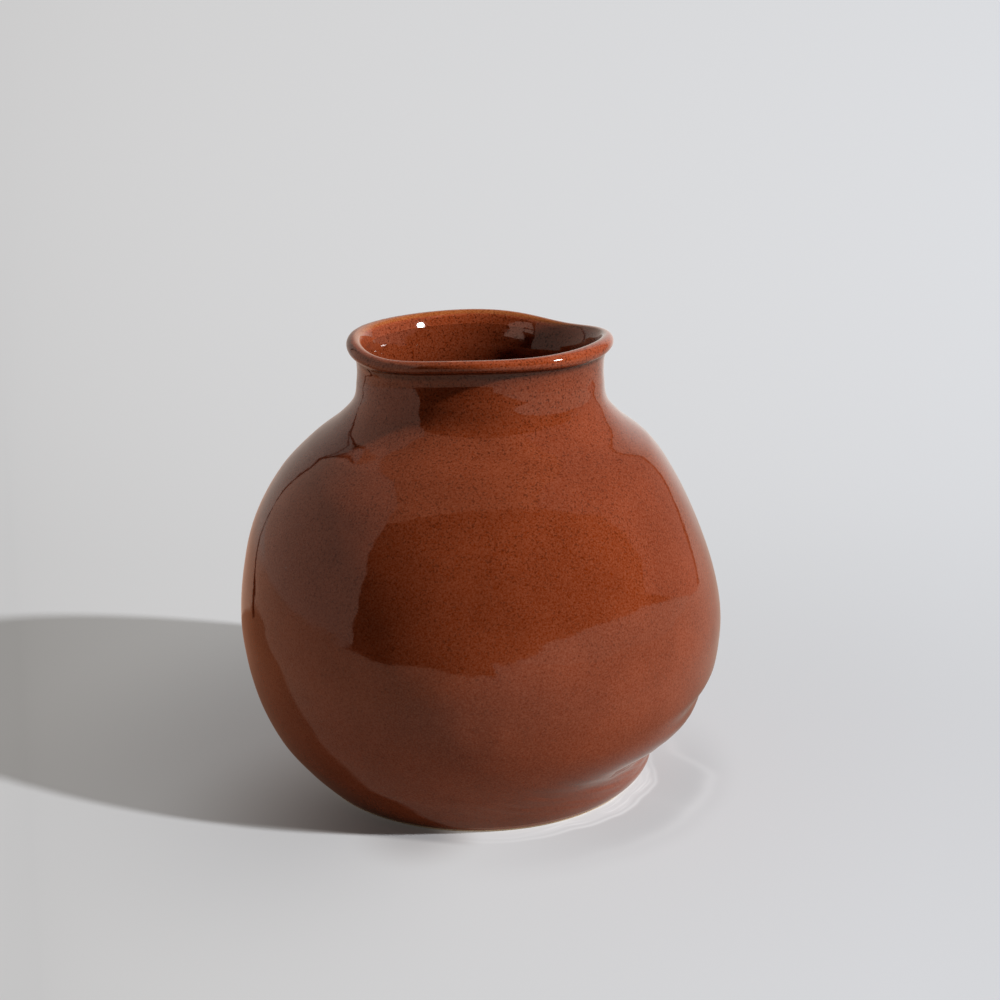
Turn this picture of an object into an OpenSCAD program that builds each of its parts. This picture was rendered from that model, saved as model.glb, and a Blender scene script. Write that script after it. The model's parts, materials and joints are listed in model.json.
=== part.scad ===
// Stoneware vase with a round belly, a short neck and an uneven rolled lip.
// Six clay members, keyed into one another: foot ring, base disc, lower wall, shoulder, neck and lip.
// Millimetres. The vase stands on z = 0 and is seen from -Y, with +X to the right.
// Angles run anticlockwise from +X, seen from above, so -90 is the front.

/* [Foot ring] */
// Diameter of the ring on the table
foot_d = 163; // [154:0.5:170]
// How far the ring's top, where the wall sits, stands out past its foot
seat_out = 3.5; // [1:0.25:6]
// Height of the ring, up to the wall's seat
foot_h = 4; // [3:0.25:6]
// Width of the ring across its flat face
foot_w = 10; // [8.5:0.25:14]
// Chamfer round both edges of the flat face
foot_chamfer = 0.6; // [0.2:0.1:1]
// Shift of the ring towards +X
foot_lean = -1.5; // [-3:0.25:3]

/* [Base disc] */
// Thickness of the clay floor
base_t = 7; // [5.5:0.25:9]
// Height of the hollow under the floor
base_recess = 1.5; // [0.75:0.25:2.25]
// Width of the ledge that carries the floor
base_ledge = 4; // [3:0.25:5]
// Clearance round the floor, which the slip fills
slip_gap = 0.3; // [0.2:0.05:0.6]

/* [Belly] */
// Height from the foot ring up to the heel
heel_h = 8; // [6:0.5:11]
// How far the heel stands out past the ring's top
heel_out = 6.7; // [4:0.1:9]
// Shift of the heel towards +X
heel_lean = -2.3; // [-4:0.1:2]
// Height from the heel up to the low belly
low_h = 14; // [10:0.5:18]
// How far the low belly is drawn in from the widest line
low_in = 15.9; // [12:0.1:20]
// Shift of the low belly towards +X
low_lean = -1.9; // [-4:0.1:2]
// Height from the low belly up to the hip
hip_h = 22; // [16:0.5:28]
// How far the hip is drawn in from the widest line
hip_in = 5; // [2:0.1:8]
// Height from the hip up to the widest line
belly_h = 28; // [22:0.5:34]
// Radius at the widest line
belly_r = 118.2; // [114:0.1:126]

/* [Shoulder] */
// Height from the widest line up to the upper belly
upper_h = 24; // [18:0.5:30]
// How far the upper belly is drawn in from the widest line
upper_in = 2; // [1:0.1:5]
// Shift of the upper belly towards +X
upper_lean = -1; // [-3:0.1:2]
// Height from the upper belly up to the shoulder
shoulder_h = 28; // [22:0.5:34]
// How far the shoulder is drawn in from the widest line
shoulder_in = 9.9; // [7:0.1:14]
// Shift of the shoulder towards +X
shoulder_lean = -2.8; // [-4:0.1:2]
// Height from the shoulder up to the high shoulder
high_h = 24; // [18:0.5:30]
// How far the high shoulder is drawn in from the widest line
high_in = 22.4; // [18:0.1:26]
// Shift of the high shoulder towards +X
high_lean = -2.3; // [-4:0.1:2]
// Height from the high shoulder up to the turn to the neck
turn_h = 16; // [12:0.5:20]
// How far the turn stands out past the waist
turn_out = 23.4; // [20:0.1:27]
// Shift of the turn towards +X
turn_lean = -0.4; // [-3:0.1:2]

/* [Neck] */
// Height from the turn up to the neck's root
root_h = 11; // [8:0.5:14]
// How far the root stands out past the waist
root_out = 9.5; // [7:0.1:12]
// Height from the root up to the lower bend
bend_h = 9; // [7:0.5:12]
// How far the lower bend stands out past the waist
bend_out = 1.9; // [1:0.1:4]
// Height from the lower bend up to the waist
waist_h = 11; // [8:0.5:14]
// Radius of the waist
waist_r = 59.1; // [55:0.1:63]
// Height from the waist up to the collar under the lip
collar_h = 8; // [6:0.5:10]
// How far the collar is drawn in from the waist
collar_in = 0.1; // [-1:0.1:1]
// Height from the collar up to the crease under the lip
crease_h = 4.7; // [3.5:0.1:6]
// How far the crease stands out past the waist
crease_out = 0.9; // [0:0.1:2]
// Shift of the neck towards +X
neck_lean = -0.2; // [-3:0.1:3]

/* [Lip] */
// Height from the crease up to the middle of the rolled bead
lip_h = 4.5; // [4:0.1:5]
// How far the middle of the bead stands out past the waist
lip_out = 0.9; // [0:0.1:3]
// Half of the bead's thickness
lip_half = 2.9; // [2.5:0.1:3.5]
// Depth of the dip in the lip at the back right
back_dip = 3.1; // [0:0.1:4]
// Angle of that dip
back_dip_at = 47; // [20:1:80]
// Angle over which that dip dies away
back_dip_spread = 17; // [10:1:30]
// Depth of the dip in the lip at the front left
front_dip = 3.5; // [0:0.1:4]
// Angle of that dip
front_dip_at = 220; // [190:1:250]
// Angle over which that dip dies away
front_dip_spread = 23; // [12:1:35]
// Height of the rise of the lip at the right
right_rise = 0.9; // [0:0.1:2]
// Angle of that rise
right_rise_at = 346; // [320:1:370]
// Angle over which that rise dies away
right_rise_spread = 18; // [10:1:30]
// Depth of the flat at the front of the mouth
front_flat = 2.3; // [0:0.1:3]
// Angle of that flat
front_flat_at = 257; // [240:1:290]
// Angle over which that flat dies away
front_flat_spread = 26; // [15:1:35]
// Extra half thickness of the bead at the right
right_swell = 0.9; // [0:0.1:1.2]
// Angle of that swelling
right_swell_at = 328; // [300:1:350]
// Angle over which that swelling dies away
right_swell_spread = 20; // [10:1:30]

/* [Pressed dents] */
// Depth of the long tuck above the foot
tuck_depth = 9.7; // [0:0.1:11]
// Height from the heel up to the tuck
tuck_h = 9.7; // [6:0.1:14]
// Height over which the tuck dies away
tuck_spread_z = 7; // [5:0.1:9]
// Angle of the tuck
tuck_at = -24; // [-50:1:0]
// Angle over which the tuck dies away
tuck_spread = 31; // [20:1:40]
// Depth of the thumb mark above the tuck
thumb_depth = 3; // [0:0.1:4]
// Height from the tuck up to the thumb mark
thumb_h = 25.8; // [20:0.1:32]
// Height over which the thumb mark dies away
thumb_spread_z = 4.3; // [3:0.1:7]
// Angle of the thumb mark
thumb_at = -19; // [-40:1:0]
// Angle over which the thumb mark dies away
thumb_spread = 12; // [6:1:20]

/* [Walls and seams] */
// Thickness of the body wall
wall_t = 6; // [5:0.25:7.5]
// Thickness of the neck wall
neck_t = 5; // [4:0.25:6]
// Height from the widest line up to the seam round the belly
belly_seam_h = 4; // [-10:0.5:20]
// Height from the neck's root up to the seam there
neck_seam_h = 1; // [-4:0.5:5]
// Height of the key ridge in each seam
key_h = 1.5; // [0.5:0.25:2.5]

/* [Hidden] */

glaze_colour = "#8c4128";
clay_colour = "#d9c3a0";

// Sides round the vase and rings along each member
sides = 60;
lower_rings = 15;
shoulder_rings = 16;
neck_rings = 10;
inner_rings = 9;
lip_rings = 11;
true_round = 96;

// The bead runs from its outer foot, over its top, to its inner foot, in degrees
bead_start = -55;
bead_end = 200;

// Heights of the stations, each from the one below it
heel_z = foot_h + heel_h;
low_z = heel_z + low_h;
hip_z = low_z + hip_h;
belly_z = hip_z + belly_h;
upper_z = belly_z + upper_h;
shoulder_z = upper_z + shoulder_h;
high_z = shoulder_z + high_h;
turn_z = high_z + turn_h;
root_z = turn_z + root_h;
bend_z = root_z + bend_h;
waist_z = bend_z + waist_h;
collar_z = waist_z + collar_h;
crease_z = collar_z + crease_h;
lip_z = crease_z + lip_h;

// Radii from the foot, from the widest line and from the waist
seat_r = foot_d / 2 + seat_out;
heel_r = seat_r + heel_out;
turn_r = waist_r + turn_out;
lip_r = waist_r + lip_out;

tuck_z = heel_z + tuck_h;
thumb_z = tuck_z + thumb_h;
belly_seam_z = belly_z + belly_seam_h;
neck_seam_z = root_z + neck_seam_h;

base_r = foot_d / 2 - foot_w + base_ledge;
base_top = base_recess + base_t;
wall_foot_r = base_r + slip_gap;

// Heights, radii and shifts of the profile, from the foot ring up to the crease under the lip
station_z = [foot_h, heel_z, low_z, hip_z, belly_z, upper_z, shoulder_z, high_z, turn_z, root_z, bend_z, waist_z,
    collar_z, crease_z];
station_r = [seat_r, heel_r, belly_r - low_in, belly_r - hip_in, belly_r, belly_r - upper_in,
    belly_r - shoulder_in, belly_r - high_in, turn_r, waist_r + root_out, waist_r + bend_out, waist_r,
    waist_r - collar_in, waist_r + crease_out];
station_lean = [foot_lean, heel_lean, low_lean, 0, 0, upper_lean, shoulder_lean, high_lean, turn_lean, neck_lean,
    neck_lean, neck_lean, neck_lean, neck_lean];
last = len(station_z) - 1;

// Slope of a list of station values at each station
function slopes(v) = [for (i = [0 : last])
    let (a = max(i - 1, 0), b = min(i + 1, last)) (v[b] - v[a]) / (station_z[b] - station_z[a])];
slope_r = slopes(station_r);
slope_lean = slopes(station_lean);

// Station below a height
function station_under(z, i = 0) = i == last - 1 || z < station_z[i + 1] ? i : station_under(z, i + 1);

// Smooth curve through a list of station values
function curve(z, v, m) =
    let (i = station_under(z), h = station_z[i + 1] - station_z[i], t = (z - station_z[i]) / h)
    (2 * t ^ 3 - 3 * t ^ 2 + 1) * v[i] + (t ^ 3 - 2 * t ^ 2 + t) * h * m[i]
    + (3 * t ^ 2 - 2 * t ^ 3) * v[i + 1] + (t ^ 3 - t ^ 2) * h * m[i + 1];

function profile_r(z) = curve(z, station_r, slope_r);
function profile_lean(z) = curve(z, station_lean, slope_lean);
function profile_slope(z, d = 0.05) = (profile_r(z + d) - profile_r(z - d)) / (2 * d);

// Rise from 0 to 1 between two heights
function ease(z, from, to) = let (t = min(max((z - from) / (to - from), 0), 1)) t * t * (3 - 2 * t);

// Bell-shaped share of a dip at an angle round the vase, and of a dent at a height
function around(a, at, spread) = let (d = a - at, w = d - 360 * round(d / 360)) exp(-(w / spread) ^ 2 / 2);
function along(z, at, spread) = exp(-((z - at) / spread) ^ 2 / 2);

function dent(z, a) = ease(z, foot_h, heel_z) * (
    tuck_depth * around(a, tuck_at, tuck_spread) * along(z, tuck_z, tuck_spread_z)
    + thumb_depth * around(a, thumb_at, thumb_spread) * along(z, thumb_z, thumb_spread_z));

// The mouth's uneven height and plan, which the neck takes on above its waist
function mouth_rise(a) = right_rise * around(a, right_rise_at, right_rise_spread)
    - back_dip * around(a, back_dip_at, back_dip_spread) - front_dip * around(a, front_dip_at, front_dip_spread);
function mouth_out(a) = -front_flat * around(a, front_flat_at, front_flat_spread);

// Point at a radius, height and angle, with a share of the mouth's unevenness
function place(r, z, lean, share, a) =
    let (rr = r + share * mouth_out(a)) [lean + rr * cos(a), rr * sin(a), z + share * mouth_rise(a)];

function thickness(z) = wall_t + (neck_t - wall_t) * ease(z, turn_z, bend_z);

// Point of the wall at a height and angle, some way in from the outer face
function wall_point(z, a, depth) =
    let (s = profile_slope(z), n = sqrt(1 + s * s))
    place(profile_r(z) - dent(z, a) - depth / n, z + depth * s / n, profile_lean(z), ease(z, waist_z, crease_z), a);

function angles() = [for (j = [0 : sides - 1]) 360 * j / sides];
function outer_ring(z) = [for (a = angles()) wall_point(z, a, 0)];
function inner_ring(z) = [for (a = angles()) wall_point(z, a, thickness(z))];
function flat_ring(r, z) = [for (a = angles()) [foot_lean + r * cos(a), r * sin(a), z]];

// Ridge in the middle of a seam, which stands up from the lower member into the upper one
function key_ring(z) = [for (a = angles())
    let (p = wall_point(z, a, 0), q = wall_point(z, a, thickness(z))) (p + q) / 2 + [0, 0, key_h]];

function heights(from, to, n) = [for (i = [0 : n]) from + (to - from) * i / n];

// Ring of the bead at an angle of its section
function bead_ring(f) = [for (a = angles())
    let (half = lip_half + right_swell * around(a, right_swell_at, right_swell_spread))
    place(lip_r + half * cos(f), lip_z + half * sin(f), neck_lean, 1, a)];

// Closed skin over a loop of rings. The last flipped strips have their diagonals the other way,
// so that the two faces of a seam have the same triangles.
module skin(rings, flipped) {
    n = len(rings);
    faces = [for (k = [0 : n - 1], j = [0 : sides - 1])
        let (a = k * sides, b = (k + 1) % n * sides, i = (j + 1) % sides)
        each k < n - flipped
            ? [[a + j, b + i, a + i], [a + j, b + j, b + i]]
            : [[a + j, b + j, a + i], [a + i, b + j, b + i]]];
    polyhedron(points = [for (ring = rings) each ring], faces = faces);
}

module foot_ring() {
    outer = foot_d / 2;
    inner = outer - foot_w;
    color(clay_colour) translate([foot_lean, 0, 0]) rotate_extrude($fn = true_round) polygon([
        [inner + foot_chamfer, 0],
        [outer - foot_chamfer, 0],
        [outer, foot_chamfer],
        [seat_r, foot_h],
        [wall_foot_r, foot_h],
        [wall_foot_r, base_recess],
        [inner, base_recess],
        [inner, foot_chamfer]]);
}

module base_disc() {
    color(glaze_colour) translate([foot_lean, 0, base_recess]) cylinder(r = base_r, h = base_t, $fn = true_round);
}

module lower_wall() {
    outer = [for (z = heights(foot_h, belly_seam_z, lower_rings)) outer_ring(z)];
    inner = [for (z = heights(belly_seam_z, base_top, inner_rings)) inner_ring(z)];
    color(glaze_colour) skin(concat(outer, [key_ring(belly_seam_z)], inner,
        [flat_ring(wall_foot_r, base_top), flat_ring(wall_foot_r, foot_h)]), 0);
}

module shoulder_wall() {
    outer = [for (z = heights(belly_seam_z, neck_seam_z, shoulder_rings)) outer_ring(z)];
    inner = [for (z = heights(neck_seam_z, belly_seam_z, inner_rings)) inner_ring(z)];
    color(glaze_colour) skin(concat(outer, [key_ring(neck_seam_z)], inner, [key_ring(belly_seam_z)]), 2);
}

module neck_collar() {
    outer = [for (z = heights(neck_seam_z, crease_z, neck_rings)) outer_ring(z)];
    inner = [for (z = heights(crease_z, neck_seam_z, neck_rings)) inner_ring(z)];
    color(glaze_colour) skin(concat(outer, [key_ring(crease_z)], inner, [key_ring(neck_seam_z)]), 2);
}

module rolled_lip() {
    bead = [for (f = heights(bead_start, bead_end, lip_rings)) bead_ring(f)];
    color(glaze_colour) skin(concat([outer_ring(crease_z)], bead, [inner_ring(crease_z), key_ring(crease_z)]), 2);
}

foot_ring();
base_disc();
lower_wall();
shoulder_wall();
neck_collar();
rolled_lip();
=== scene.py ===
"""Looks of a hand-formed stoneware vase: its glazed clay members, its bare foot and a pale studio stage."""

import functools
import json
import math

import bpy
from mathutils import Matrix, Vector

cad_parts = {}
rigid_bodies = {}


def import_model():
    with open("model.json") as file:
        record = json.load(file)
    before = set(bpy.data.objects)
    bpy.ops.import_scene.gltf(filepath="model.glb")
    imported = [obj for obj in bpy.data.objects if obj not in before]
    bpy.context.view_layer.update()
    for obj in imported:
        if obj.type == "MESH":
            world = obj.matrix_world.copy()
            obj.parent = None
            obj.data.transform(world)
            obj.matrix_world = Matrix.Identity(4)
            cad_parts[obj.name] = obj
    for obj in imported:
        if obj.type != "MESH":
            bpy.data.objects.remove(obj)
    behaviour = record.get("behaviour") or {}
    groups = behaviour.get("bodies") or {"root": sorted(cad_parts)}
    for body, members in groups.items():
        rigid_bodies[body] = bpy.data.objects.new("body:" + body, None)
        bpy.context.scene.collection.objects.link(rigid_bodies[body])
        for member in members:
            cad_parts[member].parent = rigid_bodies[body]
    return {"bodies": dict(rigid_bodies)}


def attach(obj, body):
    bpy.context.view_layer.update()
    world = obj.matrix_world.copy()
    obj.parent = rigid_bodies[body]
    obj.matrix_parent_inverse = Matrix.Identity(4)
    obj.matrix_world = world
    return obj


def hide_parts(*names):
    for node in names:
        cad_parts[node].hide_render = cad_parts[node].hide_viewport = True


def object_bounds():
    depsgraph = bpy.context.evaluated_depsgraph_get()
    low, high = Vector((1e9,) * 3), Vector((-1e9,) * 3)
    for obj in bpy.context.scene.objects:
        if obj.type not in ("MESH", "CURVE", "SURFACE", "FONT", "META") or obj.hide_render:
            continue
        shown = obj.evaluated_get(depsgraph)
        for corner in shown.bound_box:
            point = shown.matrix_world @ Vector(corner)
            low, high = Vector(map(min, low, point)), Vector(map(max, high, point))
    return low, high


bl_info = {
    "name": "Stoneware Vase",
    "version": (1, 0, 0),
    "blender": (4, 5, 0),
    "location": "View3D > Sidebar > Vase",
    "description": "Makes the glazed members of a stoneware vase and the stage that it stands on",
    "category": "Object",
}

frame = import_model()
CAD_LOW, CAD_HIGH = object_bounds()
BODY = next(iter(frame["bodies"]))
MM = 0.001


# Short forms of the settings. Each one waits for its name, which with_settings gives it.

def length(description, millimetres):
    """A length, written in millimetres."""
    return functools.partial(
        bpy.props.FloatProperty, description=description, default=millimetres * MM,
        unit="LENGTH", precision=5)


def angle(description, degrees):
    """An angle, written in degrees."""
    return functools.partial(
        bpy.props.FloatProperty, description=description, default=math.radians(degrees),
        subtype="ANGLE")


def share(description, default):
    """A plain number."""
    return functools.partial(bpy.props.FloatProperty, description=description, default=default)


def colour(description, default):
    """A linear colour."""
    return functools.partial(
        bpy.props.FloatVectorProperty, description=description, default=default,
        subtype="COLOR", size=3, min=0.0, max=1.0)


def location(description, default):
    """A place on the stage."""
    return functools.partial(
        bpy.props.FloatVectorProperty, description=description, default=default,
        subtype="TRANSLATION", unit="LENGTH", size=3)


def station(what, height, radius, shift):
    """A level of the vase's profile: its height, its radius and its shift towards +X, in millimetres."""
    return functools.partial(
        bpy.props.FloatVectorProperty, description=f"Height, radius and sideways shift of the {what}",
        default=(height * MM, radius * MM, shift * MM), size=3, unit="LENGTH", precision=5)


def mark(name, what, depth, at, spread):
    """Settings of a bell-shaped mark at an angle round the vase."""
    return {
        name: length(f"Size of the {what}", depth),
        f"{name}_at": angle(f"Angle of the {what}", at),
        f"{name}_spread": angle(f"Angle over which the {what} dies away", spread)}


def dent(name, what, depth, height, rise, at, spread):
    """Settings of a mark that also dies away above and below a height."""
    return {
        **mark(name, what, depth, at, spread),
        f"{name}_height": length(f"Height of the {what}", height),
        f"{name}_rise": length(f"Height over which the {what} dies away", rise)}


def lamp(name, what, strength, bearing, height, softness):
    """Settings of a far lamp."""
    return {
        f"{name}_strength": share(f"Strength of the {what}", strength),
        f"{name}_bearing": angle(f"Bearing of the {what} from the camera's side", bearing),
        f"{name}_height": angle(f"Height of the {what} above the floor", height),
        f"{name}_softness": angle(f"Width of the {what} as seen from the vase", softness)}


def label(name):
    """A name of the script as words."""
    return name.replace("_", " ").capitalize()


def with_settings(*sets):
    """Adds whole sets of settings to a group, and gives each of its settings a name."""
    def fitted(group):
        for more in sets:
            group.__annotations__.update(more)
        for key, setting in group.__annotations__.items():
            group.__annotations__[key] = setting(name=label(key))
        return group
    return fitted


@with_settings()
class VaseProfile(bpy.types.PropertyGroup):
    """Levels of the outer face from the foot up to the crease under the lip, and the walls behind it."""

    seat: station("seat", 4.0, 85.0, -1.5)
    heel: station("heel", 12.0, 91.7, -2.3)
    low: station("low belly", 26.0, 102.3, -1.9)
    hip: station("hip", 48.0, 113.2, 0.0)
    belly: station("widest line", 76.0, 118.2, 0.0)
    upper: station("upper belly", 100.0, 116.2, -1.0)
    shoulder: station("shoulder", 128.0, 108.3, -2.8)
    high: station("high shoulder", 152.0, 95.8, -2.3)
    turn: station("turn to the neck", 168.0, 82.5, -0.4)
    root: station("root of the neck", 179.0, 68.6, -0.2)
    bend: station("lower bend", 188.0, 61.0, -0.2)
    waist: station("waist", 199.0, 59.1, -0.2)
    collar: station("collar", 207.0, 59.0, -0.2)
    crease: station("crease under the lip", 211.7, 60.0, -0.2)
    wall: length("Thickness of the body wall", 6.0)
    neck_wall: length("Thickness of the neck wall", 5.0)
    funnel: length("How much the mouth narrows from the lip down to the waist", 2.6)
    belly_seam: length("Height of the seam round the belly", 80.0)
    neck_seam: length("Height of the seam at the root of the neck", 180.0)
    key: length("Height of the ridge in each seam", 1.5)


@with_settings(
    mark("back_dip", "dip at the back right", 3.1, 47.0, 17.0),
    mark("front_dip", "dip at the front left", 3.5, 220.0, 23.0),
    mark("right_rise", "rise at the right", 0.85, 346.0, 18.0),
    mark("back_rise", "rise at the back", 0.7, 88.0, 24.0),
    mark("front_flat", "flat at the front", 2.3, 257.0, 26.0),
    mark("right_swell", "bead's swelling at the right", 0.9, 328.0, 20.0),
    mark("left_swell", "bead's swelling at the left", 0.7, 190.0, 22.0))
class VaseMouth(bpy.types.PropertyGroup):
    """The rolled bead and the dips, rises, flat and swellings that make it uneven."""

    bead_height: length("Height of the middle of the bead", 216.2)
    bead_radius: length("Radius of the mouth at the middle of the bead", 60.0)
    bead_half: length("Half of the bead's thickness", 2.9)


@with_settings(
    dent("tuck", "tuck", 7.2, 22.0, 7.0, -6.0, 22.0),
    dent("fold", "fold that runs on from the tuck to the front", 3.0, 23.0, 6.0, -34.0, 24.0),
    dent("thumb", "thumb mark", 3.0, 47.5, 4.3, -19.0, 12.0))
class VaseDents(bpy.types.PropertyGroup):
    """The tuck above the foot, its fold and wrinkles, the thumb mark over it and the ripple all over."""

    wrinkle: length("Depth of the fine wrinkles in the tuck and the fold", 2.0)
    wrinkle_size: length("Distance from one wrinkle to the next", 7.0)
    ripple: length("Depth of the ripple that the hand leaves", 0.36)
    ripple_size: length("Distance from one ripple to the next", 16.0)


@with_settings()
class VaseFoot(bpy.types.PropertyGroup):
    """The foot ring and the clay floor in it."""

    radius: length("Radius of the ring on the table", 81.5)
    width: length("Width of the ring's flat face", 10.0)
    edge: length("Rounding of both edges of the flat face", 0.6)
    ledge: length("Width of the ledge that carries the floor", 4.0)
    recess: length("Height of the hollow under the floor", 1.5)
    floor: length("Thickness of the clay floor", 7.0)
    slip: length("Width of the slip that fills the gap round the floor", 0.3)
    bare: length("Height of the clay that is wiped bare of glaze", 1.4)


@with_settings()
class VaseFinish(bpy.types.PropertyGroup):
    """Colours and grain of the glaze and of the bare clay."""

    rust: colour("Glaze of the usual depth", (0.280, 0.054, 0.017))
    rust_deep: colour("Glaze where the tone is darker", (0.245, 0.046, 0.014))
    amber: colour("Glaze where it runs thin", (0.28, 0.076, 0.017))
    # Pooled glaze colour: glaze that gathers, and also painted shade under the lip's bead and inside the
    # walls
    pooled: colour("Glaze where it gathers", (0.13, 0.025, 0.008))
    fleck: colour("Dark flecks in the glaze", (0.070, 0.010, 0.002))
    clay: colour("Bare buff clay", (0.72, 0.54, 0.35))
    clay_deep: colour("Darker grains in the clay", (0.47, 0.30, 0.17))
    fleck_size: length("Size of a fleck", 0.95)
    gloss: share("Roughness of the glaze", 0.045)


@with_settings(
    lamp("key", "key light, which lights the paper", 3.8, 68.0, 29.0, 2.5),
    lamp("body", "key light's twin, which lights the vase", 3.72, 76.0, 34.0, 2.5),
    lamp("left", "soft light from the left", 2.5, -114.0, 4.0, 26.0),
    lamp("foot", "light that the floor throws on the foot ring", 1.1, 60.0, 12.0, 26.0))
class VaseStage(bpy.types.PropertyGroup):
    """The sweep, the lamps, the panels and the camera."""

    paper: colour("Colour of the floor and the backdrop", (0.94, 0.96, 1.0))
    paper_seen: share("Share of the paper's colour that the camera sees", 0.46)
    paper_mirrored: colour("Colour of the lit paper that the vase mirrors", (0.38, 0.30, 0.25))
    paper_bounce: share("Share of the paper's colour that lights the vase", 0.20)
    paper_back: share("Share of the light that is left on the backdrop", 0.96)
    glow: share("Light that the camera sees all over the paper", 0.272)
    glow_right: share("More light that the camera sees at the right", 0.145)
    glow_dip: share("Share of the glow that is lost on the floor right of the vase", 0.14)
    glow_bounce: share("Share of the glow that lights the vase", 0.42)
    mirror_left: colour("Glow of the paper that the vase mirrors at the left", (0.33, 0.125, 0.060))
    mirror_right: colour("Glow of the paper that the vase mirrors at the right", (0.24, 0.217, 0.192))
    back_left: colour("Glow of the backdrop that the vase mirrors at the left", (0.245, 0.208, 0.192))
    back_right: colour("Glow of the backdrop that the vase mirrors at the right", (0.34, 0.33, 0.30))
    back_middle: colour("Glow of the backdrop that the vase mirrors right behind it", (0.64, 0.66, 0.65))
    contact: share("Share of the glow that is lost beside the foot, in the shadow", 0.38)
    contact_close: share("Share of the rest that is lost in the shadow right at the foot", 0.9)
    contact_reach: length("Distance over which the close shade dies away in the shadow", 140.0)
    contact_lit: share("Share of the rest that is lost at the foot before the shadow", 0.5)
    lit_reach: length("Distance over which the close shade dies away before the shadow", 35.0)
    contact_tint: colour("Tint of the light that is left right at the foot", (1.0, 0.88, 0.79))
    pool: share("Light that the glaze throws on the paper beside the foot", 0.16)
    pool_at: angle("Angle of the pool of light", -42.0)
    pool_spread: angle("Angle over which the pool of light dies away", 27.0)
    pool_shade: share("Share of light that is lost around the pool", 0.16)
    pool_mirrored: share("Light of the pool that the vase mirrors", 0.34)
    tint_left: colour("Tint of the light that the camera sees at the left", (1.0, 0.965, 0.92))
    tint_right: colour("Tint of the light that the camera sees at the right", (0.96, 0.972, 1.0))
    room: share("Light from all sides", 0.055)
    left_card: colour("Light of the card at the left", (0.60, 0.40, 0.32))
    right_card: colour("Light of the wall at the right", (0.416, 0.254, 0.219))
    fence_card: colour("Light of the low fence at the right", (0.48, 0.50, 0.44))
    ceiling_card: colour("Light of the ceiling", (0.54, 0.25, 0.16))
    camera_place: location("Place of the camera", (0.00913, -0.7772, 0.3771))
    camera_dip: angle("How far the camera looks down", 17.19)
    camera_lens: share("Focal length of the camera in millimetres", 60.0)


# Writing node trees

def rgba(value):
    return (*value, 1.0)


class Value:
    """An output of a node. Arithmetic with it adds the nodes that work it out."""

    def __init__(self, write, socket):
        self.write = write
        self.socket = socket

    def __add__(self, other):
        return self.write.math("ADD", self, other)

    def __radd__(self, other):
        return self.write.math("ADD", other, self)

    def __sub__(self, other):
        return self.write.math("SUBTRACT", self, other)

    def __rsub__(self, other):
        return self.write.math("SUBTRACT", other, self)

    def __mul__(self, other):
        return self.write.math("MULTIPLY", self, other)

    def __rmul__(self, other):
        return self.write.math("MULTIPLY", other, self)

    def __truediv__(self, other):
        return self.write.math("DIVIDE", self, other)

    def __rtruediv__(self, other):
        return self.write.math("DIVIDE", other, self)

    def __lt__(self, other):
        return self.write.math("LESS_THAN", self, other)

    def __gt__(self, other):
        return self.write.math("GREATER_THAN", self, other)


class TreeWriter:
    """Adds nodes to a tree. Their inputs are numbers, texts, data blocks or values of the tree."""

    def __init__(self, tree):
        self.tree = tree

    def fill(self, socket, value):
        if isinstance(value, Value):
            self.tree.links.new(value.socket, socket)
        else:
            socket.default_value = value

    def node(self, kind, inputs=(), **settings):
        """A node with its settings, and its inputs by position or, from a dictionary, by name."""
        made = self.tree.nodes.new(kind)
        for name, value in settings.items():
            setattr(made, name, value)
        pairs = inputs.items() if isinstance(inputs, dict) else enumerate(inputs)
        for place, value in pairs:
            self.fill(made.inputs[place], value)
        return made

    def value(self, kind, inputs=(), output=0, **settings):
        """One output of a new node."""
        return Value(self, self.node(kind, inputs, **settings).outputs[output])

    def outputs(self, kind, inputs=()):
        """All the outputs of a new node, by name."""
        return {socket.name: Value(self, socket) for socket in self.node(kind, inputs).outputs}

    def math(self, operation, *values):
        return self.value("ShaderNodeMath", values, operation=operation)

    def largest(self, result, *others):
        """The largest of several values."""
        for other in others:
            result = self.math("MAXIMUM", result, other)
        return result

    def bell(self, value, middle, width):
        """A bell-shaped share about a middle value."""
        off = (value - middle) / width
        return self.math("EXPONENT", off * off * -0.5)

    def parts(self, vector):
        """The three parts of a vector."""
        return list(self.outputs("ShaderNodeSeparateXYZ", [vector]).values())

    def joined(self, *parts):
        """A vector of three parts."""
        return self.value("ShaderNodeCombineXYZ", parts)

    def spread(self, value, low, high, to_low=0.0, to_high=1.0, kind="SMOOTHSTEP"):
        """A value taken from one range to another."""
        inputs = {"Value": value, "From Min": low, "From Max": high, "To Min": to_low, "To Max": to_high}
        return self.value("ShaderNodeMapRange", inputs, "Result", interpolation_type=kind)

    def noise(self, where, size, detail=2.0, roughness=0.5):
        """Noise whose lumps are about one size across."""
        inputs = {"Vector": where, "Scale": 1.0 / size, "Detail": detail, "Roughness": roughness}
        return self.value("ShaderNodeTexNoise", inputs)

    def mix(self, factor, *pair):
        """A pair of colours mixed by a factor."""
        made = self.node("ShaderNodeMix", {"Factor": factor}, data_type="RGBA")
        sockets = [socket for socket in made.inputs if socket.type == "RGBA"]
        for socket, tint in zip(sockets, pair):
            self.fill(socket, tint if isinstance(tint, Value) else rgba(tint))
        return Value(self, next(socket for socket in made.outputs if socket.type == "RGBA"))

    def scaled(self, vector, factor):
        """A colour times a number."""
        return self.value("ShaderNodeVectorMath", {"Vector": vector, "Scale": factor}, operation="SCALE")


def emptied(block):
    """The writer for a material or a world, with nothing in its tree yet."""
    block.use_nodes = True
    block.node_tree.nodes.clear()
    return TreeWriter(block.node_tree)


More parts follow.
